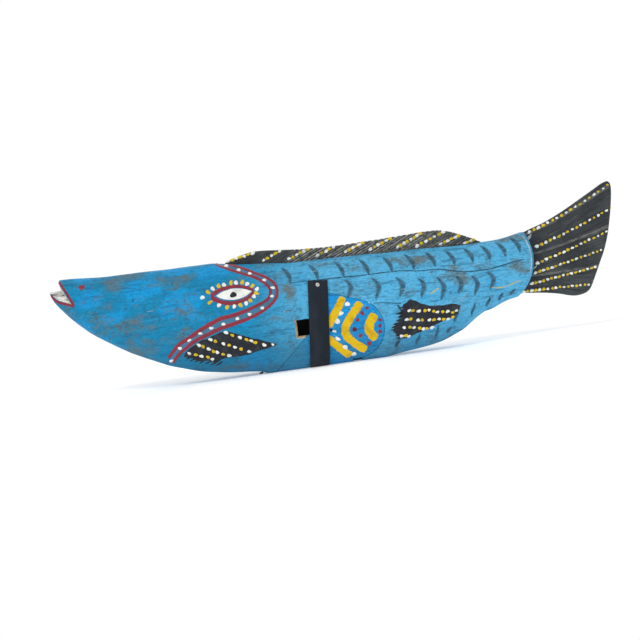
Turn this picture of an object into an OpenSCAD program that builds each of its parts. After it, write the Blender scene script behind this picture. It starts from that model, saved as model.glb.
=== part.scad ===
/* [Log] */
// Width of the log at its widest, mm
log_w = 84; // [76:1:92]
// Tip of the lower lip, measured forward of the middle, mm
nose_x = 320; // [316:1:324]

/* [Dorsal fin] */
// Thickness of the fin board
fin_t = 9; // [6:0.5:12]
// Depth of the groove that holds the board
fin_groove = 8; // [5:1:12]
// Distance from one slanted rasp cut to the next
rasp_pitch = 7; // [5:0.5:12]
// Depth of a rasp cut in each face
rasp_depth = 0.9; // [0.4:0.1:1.5]

/* [Tail fin] */
// Thickness of the blade where it leaves the log
tail_root_t = 13; // [10:1:16]
// Thickness of the blade at its trailing edge
tail_edge_t = 6; // [4:0.5:9]

/* [Belly flap] */
// Pivot, measured back from the middle
pivot_x = 10; // [8:0.5:12]
// Pivot, height above the belly
pivot_z = 37; // [36:0.5:38]
// Radius of the round hub of the flap
hub_r = 33.2; // [32.5:0.1:34]
// Running gap between the flap and the log
flap_gap = 0.6; // [0.4:0.1:1]
// Thickness of the web of the log inside the fork of the flap
web_t = 24; // [16:1:32]
// Radius of the round end of the web
web_r = 17.5; // [14:0.5:18]
// Thickness of the wall that closes the windows of the two flanks off from each other
wall_t = 22; // [16:1:30]

/* [Pins and nails] */
// Radius of the pivot pin
pin_r = 3; // [2.5:0.25:4]
// Play of the pin in the web, on the radius
pin_play = 0.08; // [0.04:0.01:0.1]
// Radius of the wooden dowels and pegs
dowel_r = 3; // [2.5:0.5:4]
// Radius of a strap nail
nail_r = 1.2; // [1:0.1:1.5]
// Radius of the head of a strap nail
nail_head_r = 2.4; // [2:0.1:3]

/* [Strap] */
// Width of the rubber strap
strap_w = 22; // [18:1:25]
// Thickness of the rubber strap
strap_t = 2.2; // [1.5:0.1:2.5]
// Lean of the strap, degrees from upright
strap_lean = 5.7; // [0:0.1:8]

/* [Hidden] */

eps = 0.01;
fit = 0.1;
wide = 2 * log_w;
half_w = log_w / 2;
rings = 34;
log_end_x = 223;
belly_low = -0.8;

// Side view of the log, [x, z]: the crest, the belly, and its half width as a share of the widest
crest = [[-nose_x, 122.5], [-315, 128], [-308, 134.5], [-285, 133.2], [-250, 131], [-200, 130],
    [-140, 129.5], [-115, 125.5], [-80, 121.8], [-45, 118.6], [0, 117.5], [50, 115.5], [100, 114],
    [150, 112], [180, 112.3], [log_end_x, 119]];
belly = [[-nose_x, 119.5], [-317, 112], [-309, 100.5], [-298, 88], [-280, 71], [-250, 50], [-220, 33.5],
    [-190, 20.5], [-160, 11.5], [-130, 6.5], [-98, 3], [-90, belly_low], [42, belly_low], [60, 2.4], [80, 4.8],
    [105, 8.5], [130, 17.5], [160, 36], [180, 43.5], [205, 48], [log_end_x, 50]];
breadth = [[-nose_x, 0.24], [-308, 0.42], [-290, 0.58], [-260, 0.74], [-220, 0.87], [-180, 0.95],
    [-130, 1], [50, 1], [90, 0.95], [130, 0.85], [170, 0.72], [log_end_x, 0.56]];
// Half of the faceted cross-section, [share of the half width, share of the height]
facets = [[0.50, 0], [0.78, 0.07], [0.93, 0.20], [1, 0.38], [1, 0.60], [0.985, 0.72], [0.93, 0.815],
    [0.72, 0.90], [0.45, 0.965], [0.24, 1]];

// Rim of the log round the tail, seen from the side
rim_x = 167.5;
rim_z = 90.2;
rim_r = 54.5;

// Flap seen from the side: toe seam, floor of the window, front face and tangent back edge
seam_low = [-83.6, -1];
seam_high = [-42.3, 37.5];
front_x = -19;
front_z = 83;
back_edge_slope = 0.365;
tangent_angle = 70;
window_x = -52.5;
window_top = 55.5;
swing_x = -31;
heel_x = 5;
lip_x = 16;
flap_lift = 0.4;
slot_play = 0.6;

strap_x = -33;
strap_top = 97;
strap_gap = 0.4;
strap_crest = 119.5;
strap_under = 2.8;
nail_x = -24;
nail_z = 91.5;
nail_l = 18;
nail_head_t = 1;

fin_front = -124;
fin_back = 166;
fin_dowel_x = [-70, 20, 110];
fin_dowel_l = 24;
tail_slot_x = 188;
peg_at = [[200, 94], [200, 68]];
peg_near = 14;
hook_x = -97;
hook_y = -12;
hook_r = 1.1;
hook_z = hook_r + 0.2;
hook_l = 18;

// Slope of a curve at point i, level where the curve turns, so that it never overshoots
function rise(p, i) = (p[i + 1][1] - p[i][1]) / (p[i + 1][0] - p[i][0]);
function slope(p, i) =
    i == 0 ? rise(p, 0) :
    i == len(p) - 1 ? rise(p, i - 1) :
    rise(p, i - 1) * rise(p, i) <= 0 ? 0 :
    2 * rise(p, i - 1) * rise(p, i) / (rise(p, i - 1) + rise(p, i));
function hermite(a, b, ma, mb, w, t) =
    a * (1 + 2 * t) * (1 - t) * (1 - t) + b * t * t * (3 - 2 * t) + w * t * (1 - t) * (ma * (1 - t) - mb * t);
function curve(p, x, i = 0) =
    x <= p[i + 1][0] || i == len(p) - 2
    ? hermite(p[i][1], p[i + 1][1], slope(p, i), slope(p, i + 1), p[i + 1][0] - p[i][0],
        (x - p[i][0]) / (p[i + 1][0] - p[i][0]))
    : curve(p, x, i + 1);

// One closed ring of the cross-section, [y, z], for a half width and the heights of belly and crest
function section(w, low, high) = concat(
    [for (f = facets) [f[0] * w, low + f[1] * (high - low)]],
    [for (i = [len(facets) - 1:-1:0]) [-facets[i][0] * w, low + facets[i][1] * (high - low)]]);
function ring_x(i) = -nose_x + (log_end_x + nose_x) * pow(i / rings, 1.2);
function ring(x) = [for (p = section(half_w * curve(breadth, x), curve(belly, x), curve(crest, x)))
    [x, p[0], p[1]]];

// Closed smooth outline through hand-picked points, kept straight between the first and the last
function knot(p, i) = p[max(0, min(len(p) - 1, i))];
function smooth(p, steps) = concat(
    [for (i = [0:len(p) - 2], s = [0:steps - 1]) let (t = s / steps)
        0.5 * (2 * knot(p, i) + (knot(p, i + 1) - knot(p, i - 1)) * t
            + (2 * knot(p, i - 1) - 5 * knot(p, i) + 4 * knot(p, i + 1) - knot(p, i + 2)) * t * t
            + (3 * knot(p, i) - knot(p, i - 1) - 3 * knot(p, i + 1) + knot(p, i + 2)) * t * t * t)],
    [p[len(p) - 1]]);

// Draws a side view, [x, z], as a plate of thickness t across the middle plane
module plate(t) {
    translate([0, t / 2, 0]) rotate([90, 0, 0]) linear_extrude(t) children();
}

// A round bar across the fish at [x, z]
module cross_bar(at, r, from = -wide, to = wide) {
    translate([at[0], to, at[1]]) rotate([90, 0, 0]) cylinder(r = r, h = to - from, $fn = 48);
}

// The whole carved log, faceted as an adze leaves it, before anything is cut into it
module raw_log() {
    n = 2 * len(facets);
    points = [for (i = [0:rings]) each ring(ring_x(i))];
    sides = [for (i = [0:rings - 1], k = [0:n - 1]) let (a = i * n + k, b = i * n + (k + 1) % n)
        each [[a, b, b + n], [a, b + n, a + n]]];
    caps = [[for (k = [n - 1:-1:0]) k], [for (k = [0:n - 1]) rings * n + k]];
    difference() {
        polyhedron(points = points, faces = concat(sides, caps), convexity = 4);
        translate([-wide * 2, -wide, -wide]) cube([wide * 4, wide * 2, wide]);
        rim_cut();
    }
}

module rim_cut() {
    difference() {
        translate([200, -wide / 2, 0]) cube([wide, wide, wide * 2]);
        cross_bar([rim_x, rim_z], rim_r);
    }
}

// The flap as a plain block with a round hub, grown outward by g
module flap_blank(g) {
    tangent = hub_r * [cos(tangent_angle), sin(tangent_angle)];
    plate(wide) polygon([[seam_low[0] - g, seam_low[1]], [seam_high[0] - g, seam_high[1]],
        [front_x - g, seam_high[1]], [front_x - g, front_z + g],
        [pivot_x + tangent[0], pivot_z + tangent[1] + g], [pivot_x, pivot_z], [heel_x, seam_low[1]]]);
    intersection() {
        cross_bar([pivot_x, pivot_z], hub_r + g);
        translate([pivot_x - hub_r / 2, -wide, -wide]) cube([wide, wide * 2, wide * 2]);
    }
}

// Everything the log gives up: the flap, the window with the room for its swing, and the gap under the hub
module flap_pocket() {
    flap_blank(flap_gap);
    plate(wide) polygon([[window_x, seam_high[1]], [window_x, window_top], [swing_x, window_top],
        [swing_x, front_z + (front_x - swing_x) * back_edge_slope + flap_gap],
        [front_x, front_z + flap_gap], [front_x, seam_high[1] - 4], [seam_high[0], seam_high[1]]]);
    translate([heel_x - 1, -wide, seam_low[1]]) cube([lip_x - heel_x + 1, wide * 2, 9]);
}

// Side view of the wall between the two windows, clear of the flap under it
module wall_side() {
    floor_z = seam_high[1] + flap_gap + 0.2;
    foot_x = seam_high[0] - 2;
    polygon([[window_x - 1, seam_high[1] - 1], [foot_x, seam_high[1] - 1], [foot_x, floor_z],
        [swing_x, floor_z], [swing_x, window_top + 1], [window_x - 1, window_top + 1]]);
}

// Side view of the web that carries the pin
module web_side() {
    translate([pivot_x, pivot_z]) circle(r = web_r, $fn = 96);
    translate([pivot_x, pivot_z - web_r]) square([hub_r + 12, 2 * web_r]);
}

// Mouth: a shallow V in each cheek and a small open notch between the lips
module mouth_cut() {
    plate(wide) polygon([[-nose_x - 6, 121.5], [-307, 122.5], [-308, 140], [-nose_x - 6, 140]]);
    for (side = [-1, 1])
        translate([0, side * (half_w * 0.36 + 25), 0])
            plate(50) polygon([[-nose_x - 4, 118], [-298, 106.5], [-308.5, 136], [-nose_x - 4, 136]]);
}

module body_log() {
    color([0.30, 0.62, 0.82]) difference() {
        raw_log();
        difference() {
            flap_pocket();
            plate(web_t) web_side();
            plate(wall_t) wall_side();
        }
        mouth_cut();
        plate(fin_t + 2 * fit) fin_outline(fit);
        plate(tail_root_t + 2 * fit) tail_outline();
        cross_bar([pivot_x, pivot_z], pin_r + pin_play);
        fin_dowel_set(0);
        tail_peg_set(0);
        nail_set(0);
        hook_shank(0);
    }
}

// Side view of the dorsal fin board, with its tongue in the groove
module fin_outline(g) {
    top = smooth([[fin_front, 126.5], [-118, 130], [-108, 133], [-92, 136.3], [-78, 136.2], [-60, 134.4],
        [-35, 132.2], [0, 130.6], [40, 131], [75, 131.8], [105, 132.8], [120, 132], [132, 129],
        [144, 124], [156, 118.2], [fin_back, 112.6]], 3);
    polygon(concat(top, [[fin_back, 112.2 - fin_groove - g], [fin_front, 127 - fin_groove - g]]));
}

module dorsal_fin() {
    slant = 24;
    cut_w = 1.6;
    cut_l = 60;
    first_cut = [-66, 119.5];
    crest_fall = 0.024;
    cuts = floor((fin_back - first_cut[0] - 12) / rasp_pitch);
    color([0.23, 0.26, 0.28]) difference() {
        plate(fin_t) fin_outline(0);
        for (i = [0:cuts], side = [-1, 1])
            let (run = i * rasp_pitch)
                translate([first_cut[0] + run, side * fin_t / 2, first_cut[1] - run * crest_fall])
                    rotate([0, -slant, 0]) translate([0, -rasp_depth, 0])
                        cube([cut_l, 2 * rasp_depth, cut_w]);
        fin_dowel_set(0);
    }
}

module fin_dowel_set(shrink) {
    for (x = fin_dowel_x)
        translate([x, 0, curve(crest, x) - fin_groove - fin_dowel_l / 2])
            cylinder(r = dowel_r - shrink, h = fin_dowel_l, $fn = 48);
}

module fin_dowels() {
    color([0.80, 0.68, 0.50]) fin_dowel_set(fit / 2);
}

// Side view of the tail blade, root hidden in the slot of the log
module tail_outline() {
    edge = smooth([[212, 115.9], [222, 119], [240, 124.7], [260, 133.3], [280, 143.5], [300, 154],
        [309, 158.8], [316, 161], [319.7, 158], [319.8, 150], [317, 133], [313, 115], [309, 100], [303, 84],
        [296, 70], [289, 56], [283, 45], [278, 40.2], [272, 38.2], [265, 37.6], [257, 39], [245, 42.6],
        [230, 45.6], [215, 47.6], [206, 48.6]], 3);
    polygon(concat(edge, [[tail_slot_x, 47.2], [tail_slot_x, 111.3]]));
}

module tail_fin() {
    color([0.23, 0.26, 0.28]) difference() {
        intersection() {
            plate(tail_root_t) tail_outline();
            linear_extrude(200) polygon([[tail_slot_x - 1, -tail_root_t / 2], [log_end_x, -tail_root_t / 2],
                [nose_x, -tail_edge_t / 2], [nose_x, tail_edge_t / 2], [log_end_x, tail_root_t / 2],
                [tail_slot_x - 1, tail_root_t / 2]]);
        }
        tail_peg_set(0);
    }
}

module tail_peg_set(shrink) {
    for (at = peg_at)
        cross_bar(at, dowel_r - shrink, -peg_near, half_w * curve(breadth, at[0]) - 1.5 - shrink);
}

module tail_pegs() {
    color([0.80, 0.68, 0.50]) tail_peg_set(fit / 2);
}

// Flap: a block with a round two-cheek hub, cut from the same log
module belly_flap() {
    color([0.0, 0.52, 0.82]) difference() {
        intersection() {
            raw_log();
            flap_blank(0);
            translate([-wide, -wide, flap_lift]) cube([wide * 2, wide * 2, wide]);
        }
        plate(web_t + 2 * slot_play) union() {
            translate([pivot_x, pivot_z]) circle(r = web_r + 1, $fn = 96);
            translate([pivot_x, -wide / 2]) square([wide, wide]);
        }
        cross_bar([pivot_x, pivot_z], pin_r);
        strap_groove();
    }
}

// Groove under the flap, so that the strap doesn't carry the weight
module strap_groove() {
    groove_w = strap_w + 4;
    groove_top = strap_under + flap_lift;
    translate([strap_x - groove_w / 2, -wide, -wide]) cube([groove_w, wide * 2, wide + groove_top]);
}

module pivot_pin() {
    reach = half_w - 0.2;
    color([0.48, 0.13, 0.18]) cross_bar([pivot_x, pivot_z], pin_r, -reach, reach);
}

// Strap: one band round both flanks and the belly, leaning a little
module rubber_strap() {
    band = 60;
    outer = strap_gap + strap_t;
    color([0.20, 0.20, 0.23]) difference() {
        intersection() {
            translate([strap_x - band / 2, 0, 0]) rotate([90, 0, 90]) linear_extrude(band) difference() {
                intersection() {
                    polygon(section(half_w + outer, belly_low - outer, strap_crest));
                    translate([-wide, flap_lift]) square([2 * wide, wide]);
                }
                intersection() {
                    polygon(section(half_w + strap_gap, belly_low - strap_gap, strap_crest));
                    translate([-wide, flap_lift + strap_t]) square([2 * wide, wide]);
                }
            }
            translate([strap_x, 0, 0]) rotate([0, strap_lean, 0]) translate([-strap_w / 2, -wide, -20])
                cube([strap_w, 2 * wide, strap_top + 20]);
        }
        nail_set(0);
    }
}

// Two nails with round heads, one through each end of the strap
module nail_set(shrink) {
    for (side = [-1, 1])
        translate([nail_x, side * (half_w + strap_gap + strap_t), nail_z]) rotate([side * 90, 0, 0])
            translate([0, 0, -eps]) cylinder(r = nail_r - shrink, h = nail_l, $fn = 32);
}

module strap_nails() {
    color([0.72, 0.72, 0.70]) {
        nail_set(fit / 2);
        for (side = [-1, 1])
            translate([nail_x, side * (half_w + strap_gap + strap_t + nail_head_t), nail_z])
                rotate([side * 90, 0, 0]) cylinder(r = nail_head_r, h = nail_head_t, $fn = 32);
    }
}

module hook_shank(shrink) {
    translate([hook_x, hook_y, hook_z]) cylinder(r = hook_r - shrink, h = hook_l, $fn = 24);
}

// Bent nail under the belly, kept just clear of the surface the fish stands on
module belly_hook() {
    leg = 5;
    leg_turn = 230;
    color([0.28, 0.27, 0.26]) {
        hook_shank(fit / 2);
        translate([hook_x, hook_y, hook_z]) {
            sphere(r = hook_r, $fn = 24);
            rotate([0, 90, leg_turn]) cylinder(r = hook_r, h = leg, $fn = 24);
        }
    }
}

body_log();
dorsal_fin();
fin_dowels();
tail_fin();
tail_pegs();
belly_flap();
pivot_pin();
rubber_strap();
strap_nails();
belly_hook();
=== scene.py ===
"""Looks of a carved and painted wooden fish: log, ridged fin, tail, hinged flap, rubber strap and paint."""

import math

import bmesh
import bpy
import numpy as np
from mathutils import Matrix, Vector, noise
from mathutils.bvhtree import BVHTree


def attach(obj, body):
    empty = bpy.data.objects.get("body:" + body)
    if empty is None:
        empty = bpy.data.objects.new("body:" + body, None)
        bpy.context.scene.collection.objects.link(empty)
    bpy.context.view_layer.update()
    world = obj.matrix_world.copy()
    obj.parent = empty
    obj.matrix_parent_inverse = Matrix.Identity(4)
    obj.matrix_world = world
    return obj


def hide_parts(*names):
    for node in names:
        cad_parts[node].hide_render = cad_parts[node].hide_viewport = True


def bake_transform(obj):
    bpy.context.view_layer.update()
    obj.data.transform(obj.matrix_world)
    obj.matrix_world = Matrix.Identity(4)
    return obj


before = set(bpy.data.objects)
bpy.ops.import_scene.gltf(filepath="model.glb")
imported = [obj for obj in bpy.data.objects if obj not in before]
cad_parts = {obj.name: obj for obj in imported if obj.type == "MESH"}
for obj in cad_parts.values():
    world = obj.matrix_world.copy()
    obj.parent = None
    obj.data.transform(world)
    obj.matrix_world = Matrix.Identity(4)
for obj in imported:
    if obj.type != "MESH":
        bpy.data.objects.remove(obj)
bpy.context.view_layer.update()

MM = 0.001
FISH, FLAP = "fish", "flap"
NEAR, FAR = -1, 1
rng = np.random.default_rng(7)

# ---------------------------------------------------------------- driving shapes, in millimetres
NOSE_X, HALF_W, CREST_Z = -320, 42, 117.5
FLANK_Y = 37.5  # the skin ends and the inside, painted near black as shade, begins here
FAR_OUT, AHEAD_X, BELOW_Z = 100, -332, -20  # well beside, just ahead of and well under the fish
CREST = [(-320, 122.5), (-315, 128), (-308, 134.5), (-285, 133.2), (-250, 131), (-200, 130), (-140, 129.5),
         (-115, 125.5), (-80, 121.8), (-45, 118.6), (0, 117.5), (50, 115.5), (100, 114), (150, 112),
         (180, 112.3), (223, 119)]
BELLY = [(-320, 119.5), (-317, 112), (-309, 100.5), (-298, 88), (-280, 71), (-250, 50), (-220, 33.5),
         (-190, 20.5), (-160, 11.5), (-130, 6.5), (-98, 3), (-90, 0.1), (42, 0.1), (60, 2.4), (80, 4.8),
         (105, 8.5), (130, 17.5), (160, 36), (180, 43.5), (205, 48), (223, 50)]
BREADTH = [(-320, 0.24), (-308, 0.42), (-290, 0.58), (-260, 0.74), (-220, 0.87), (-180, 0.95), (-130, 1),
           (50, 1), (90, 0.95), (130, 0.85), (170, 0.72), (223, 0.56)]
FACETS = [(0.50, 0), (0.78, 0.07), (0.93, 0.20), (1, 0.38), (1, 0.60), (0.985, 0.72), (0.93, 0.815),
          (0.72, 0.90), (0.45, 0.965), (0.24, 1)]
RIM_X, RIM_Z, RIM_R, RIM_BULGE = 167.5, 90.2, 54.5, 4.0
END_FROM_X, RIM_ROWS = 150, 8
PIVOT = (10, 37)
HUB_R = 33.2
SEAM_LOW, SEAM_HIGH = (-83.6, -1), (-42.3, 37.5)
FRONT_X, FRONT_Z = -19, 83
WINDOW_X, WINDOW_TOP, SWING_X = -52.5, 55.5, -31
HEEL_X, LIP_X, HEEL_ROOM_X = 5, 16, -5
TONGUE_TOP = 3.3
MOUTH_END_X, CHEEK_Y = -290, 9
FLAP_LIFT = 0.4
WEB_T, WEB_R, SLOT_PLAY, WALL_T = 24, 17.5, 0.6, 22
HUB_GAP, SEAM_GAP = 0.45, 0.6
FIN_T, FIN_FRONT, FIN_BACK = 9, -124, 166
STRAP_X, STRAP_W, STRAP_T, STRAP_LEAN, STRAP_TOP = -33, 22, 2.2, 5.7, 97
STRAP_BOTTOM = 3.1
STRAP_GAP, STRAP_CREST = 0.4, 119.5
NAIL_X, NAIL_Z = -24, 91.5
HOOK_X, HOOK_Y, HOOK_R = -97, -12, 1.1


# ---------------------------------------------------------------- curves
def level_curve(points):
    """A function through the points that never overshoots them."""
    px, pv = np.array(points, float).T
    rise = np.diff(pv) / np.diff(px)
    slope = np.concatenate([rise[:1], np.zeros(len(px) - 2), rise[-1:]])
    for i in range(1, len(px) - 1):
        a, b = rise[i - 1], rise[i]
        slope[i] = 0 if a * b <= 0 else 2 * a * b / (a + b)

    def at(x):
        i = np.clip(np.searchsorted(px, x) - 1, 0, len(px) - 2)
        w = px[i + 1] - px[i]
        t = np.clip((x - px[i]) / w, 0, 1)
        ends = pv[i] * (1 + 2 * t) * (1 - t) ** 2 + pv[i + 1] * t * t * (3 - 2 * t)
        return ends + w * t * (1 - t) * (slope[i] * (1 - t) - slope[i + 1] * t)

    return at


def through(points, steps=8):
    """A smooth path through the points, as an array."""
    p = np.array(points, float)
    p = np.vstack([2 * p[0] - p[1], p, 2 * p[-1] - p[-2]])
    t = np.linspace(0, 1, steps, endpoint=False)[:, None]
    spans = [0.5 * (2 * b + (c - a) * t + (2 * a - 5 * b + 4 * c - d) * t ** 2
                    + (3 * b - a - 3 * c + d) * t ** 3) for a, b, c, d in zip(p, p[1:], p[2:], p[3:])]
    return np.vstack(spans + [p[-2:-1]])


def spaced(path, count):
    """The path again with evenly spaced points."""
    run = np.concatenate([[0], np.cumsum(np.linalg.norm(np.diff(path, axis=0), axis=1))])
    at = np.linspace(0, run[-1], count)
    return np.stack([np.interp(at, run, path[:, k]) for k in range(path.shape[1])], axis=1)


def bump(t):
    """1 at t = 0 and 0 from |t| = 1 on, smooth at both."""
    return np.clip(1 - t * t, 0, 1) ** 2


crest, belly, breadth = level_curve(CREST), level_curve(BELLY), level_curve(BREADTH)


# ---------------------------------------------------------------- meshes
def add_mesh(name, verts, faces, material=None, body=None):
    """A mesh object from points in millimetres. It rides on a body unless it is only a cutter."""
    mesh = bpy.data.meshes.new(name)
    mesh.from_pydata([tuple(c * MM for c in v) for v in verts], [], [tuple(f) for f in faces])
    mesh.update()
    mesh.polygons.foreach_set("use_smooth", [True] * len(mesh.polygons))
    obj = bpy.data.objects.new(name, mesh)
    bpy.context.scene.collection.objects.link(obj)
    if material:
        mesh.materials.append(material)
    if body:
        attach(obj, body)
    return obj


def end_caps(rows, cols):
    """Faces that close the first and the last row of a closed grid."""
    last = rows * cols
    return [tuple(range(cols)), tuple(range(last - 1, last - cols - 1, -1))]


def grid_faces(rows, cols, closed=False, start=0):
    """Quads of a rows by cols grid of points, wrapping across each row when closed."""
    last = cols if closed else cols - 1
    return [(start + i * cols + k, start + i * cols + (k + 1) % cols,
             start + (i + 1) * cols + (k + 1) % cols, start + (i + 1) * cols + k)
            for i in range(rows - 1) for k in range(last)]


def tube(name, rings, material=None, body=None, caps=2):
    """A mesh through rings of points, closed at its first end or at both."""
    rings = np.asarray(rings)
    rows, cols, _ = rings.shape
    faces = grid_faces(rows, cols, closed=True) + end_caps(rows, cols)[:caps]
    return add_mesh(name, rings.reshape(-1, 3), faces, material, body)


def turn_outward(obj, weld=True):
    """Makes all faces of a closed mesh look outward, and joins points that coincide."""
    bm = bmesh.new()
    bm.from_mesh(obj.data)
    if weld:
        bmesh.ops.remove_doubles(bm, verts=bm.verts, dist=2e-6)
    bmesh.ops.recalc_face_normals(bm, faces=bm.faces)
    bm.to_mesh(obj.data)
    bm.free()


def sharpen(obj, degrees):
    """Shades edges as crisp where the surface turns by more than this."""
    obj.data.set_sharp_from_angle(angle=math.radians(degrees))


def layered(name, layers):
    """A cutter whose side view changes from one y to the next."""
    rows, cols = len(layers), len(layers[0][1])
    verts = [(x, y, z) for y, outline in layers for x, z in outline]
    faces = end_caps(rows, cols) + [face[::-1] for face in grid_faces(rows, cols, closed=True)]
    obj = add_mesh(name, verts, faces)
    turn_outward(obj)
    return obj


def through_cut(outline):
    """A cutter right through the fish, split where the inside painted near black as shade begins."""
    return layered("cut", [(y, outline) for y in (-FAR_OUT, -FLANK_Y, FLANK_Y, FAR_OUT)])


def box(left, low, right, high):
    """The side view of a block."""
    return [(left, low), (right, low), (right, high), (left, high)]


def combine(obj, cutter, how):
    """Cuts, joins or intersects obj with the cutter, which is used up."""
    mod = obj.modifiers.new(how, "BOOLEAN")
    mod.operation = how
    mod.solver = "MANIFOLD"
    mod.object = cutter
    bpy.context.view_layer.objects.active = obj
    bpy.ops.object.modifier_apply(modifier=mod.name)
    bpy.data.objects.remove(cutter)


def search_tree(obj):
    """The faces of a mesh for rays and nearest points, in millimetres."""
    mesh = obj.data
    return BVHTree.FromPolygons([v.co / MM for v in mesh.vertices], [p.vertices[:] for p in mesh.polygons])


def places(obj):
    """The points of a mesh, in millimetres."""
    flat = np.empty(len(obj.data.vertices) * 3, dtype=np.float32)
    obj.data.vertices.foreach_get("co", flat)
    return flat.reshape(-1, 3).astype(float) / MM


def set_attribute(obj, name, values):
    """A number at each point, for the materials."""
    data = obj.data.attributes.new(name, "FLOAT", "POINT").data
    data.foreach_set("value", np.asarray(values, dtype=np.float32))


def set_run(obj, along, across):
    """Which way the carving and the brush ran, for the streaks of the black paint."""
    data = obj.data.attributes.new("run", "FLOAT_VECTOR", "POINT").data
    both = np.stack([along, across, np.zeros(len(along))], axis=1)
    data.foreach_set("vector", both.astype(np.float32).ravel())


def arc(centre, radius, start, stop, count):
    """Points of an arc in side view, angles in degrees."""
    angles = np.radians(np.linspace(start, stop, count))
    return [(centre[0] + radius * math.cos(a), centre[1] + radius * math.sin(a)) for a in angles]


# ---------------------------------------------------------------- carving on the flanks
GOUGE_DEPTH, SPINE_Y = 1.9, 6


def scale_rows():
    """Crescent gouges, each a path in side view and the widest half width."""
    rows = []
    for k in range(12):
        x = -52 + 31 * k - 0.68 * k * k
        top = float(crest(x)) - 3
        size = 1 - 0.012 * k
        rows.append(([(x - 9, top), (x - 3.5, top - 6 * size), (x - 0.5, top - 12 * size),
                      (x - 0.8, top - 19 * size)], 3.5))
    for x, top, low in ((13, 93, 73), (44, 91, 67), (70.5, 87.5, 66), (94, 84.5, 62), (116, 82, 56),
                        (136, 80, 60), (154, 79, 55.5), (172.5, 78.5, 60)):
        mid = (top + low) / 2
        rows.append(([(x - 8, top), (x - 2, mid + 6), (x, mid - 1), (x - 5.5, low)], 3.9))
    for x, top, low in ((59, 20, 10.5), (82, 21, 10.5), (103.5, 28, 12), (118, 24, 18), (128, 43, 30),
                        (148, 48, 34), (166, 51, 41), (181, 54, 46), (195, 56, 50)):
        rows.append(([(x, top), (x - 1.2, (top + low) / 2 + 1), (x - 6, low)], 2.6))
    rows.append(([(60, 59), (64.5, 51), (64, 44), (60, 38)], 2.6))
    return [(spaced(through(p), 18), w) for p, w in rows]


SCALES = scale_rows()


def cut_depth(x, z):
    """How deep the gouges go at points of a side view, from 0 to 1: sloping in front and steep behind."""
    depth = np.zeros_like(x)
    for path, half in SCALES:
        low, high = path.min(axis=0) - half, path.max(axis=0) + half
        near = np.nonzero((x > low[0]) & (x < high[0]) & (z > low[1]) & (z < high[1]))[0]
        if not len(near):
            continue
        dx, dz = x[near, None] - path[None, :, 0], z[near, None] - path[None, :, 1]
        width = half * np.sin(np.linspace(0.03, 0.97, len(path)) ** 1.25 * math.pi) ** 0.8 + 0.1
        gap = np.hypot(dx, dz) / width * np.where(dx > 0, 2.1, 1)
        depth[near] = np.maximum(depth[near], np.clip(1 - gap * gap, 0, 1).max(axis=1))
    return depth


def gouged(at):
    """The same for points of the skin. The back and the belly have no gouges."""
    return cut_depth(at[:, 0], at[:, 2]) * (np.abs(at[:, 1]) > SPINE_Y)


def adze(points):
    """Low waves that an adze and a knife leave, in millimetres."""
    out = np.empty(len(points))
    for i, (x, y, z) in enumerate(points):
        out[i] = (0.55 * noise.noise(Vector((x / 34, y / 22, z / 15)))
                  + 0.22 * noise.noise(Vector((x / 60, y / 7, z / 6)))
                  + 0.10 * noise.noise(Vector((x / 9, y / 5 + 9, z / 2.6))))
    return out


# ---------------------------------------------------------------- the skin of the log
def section_shape(count):
    """The faceted cross-section with eased corners, as shares of half width and height."""
    half = np.array(FACETS)
    ring = np.vstack([[(0, 0)], half, half[::-1] * [-1, 1], [(0, 0)]]) * [HALF_W, CREST_Z]
    fine = spaced(ring, 1441)[:-1]
    reach = 8
    eased = sum(np.roll(fine, k, axis=0) for k in range(-reach, reach + 1)) / (2 * reach + 1)
    return spaced(np.vstack([eased, eased[:1]]), count + 1)[:-1] / [HALF_W, CREST_Z]


def skin_points():
    """Rings of points from the nose to the middle of the rounded tail end."""
    shape = section_shape(250)
    nose = NOSE_X + 254 * np.linspace(0, 1, 100) ** 1.3
    xs = np.concatenate([nose, np.arange(nose[-1] + 1.1, END_FROM_X, 1.2)])
    rings = []
    for x in xs:
        low, high = belly(x), crest(x)
        rings.append(np.stack([np.full(len(shape), x), shape[:, 0] * HALF_W * breadth(x),
                               low + shape[:, 1] * (high - low)], axis=1))
    for s in np.linspace(0, 1, 58)[1:]:
        x = np.full(len(shape), float(END_FROM_X))
        for _ in range(4):
            z = belly(x) + shape[:, 1] * (crest(x) - belly(x))
            end = RIM_X + np.sqrt(np.clip(RIM_R ** 2 - (z - RIM_Z) ** 2, 1, None)) - RIM_BULGE
            x = END_FROM_X + (end - END_FROM_X) * s
        rings.append(np.stack([x, shape[:, 0] * HALF_W * breadth(x), z], axis=1))
    rim = rings[-1]
    for turn in np.radians(np.linspace(0, 90, RIM_ROWS + 1))[1:]:
        rings.append(rim * [1, math.cos(turn), 1] + [RIM_BULGE * math.sin(turn), 0, 0])
    return np.array(rings)


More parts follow.
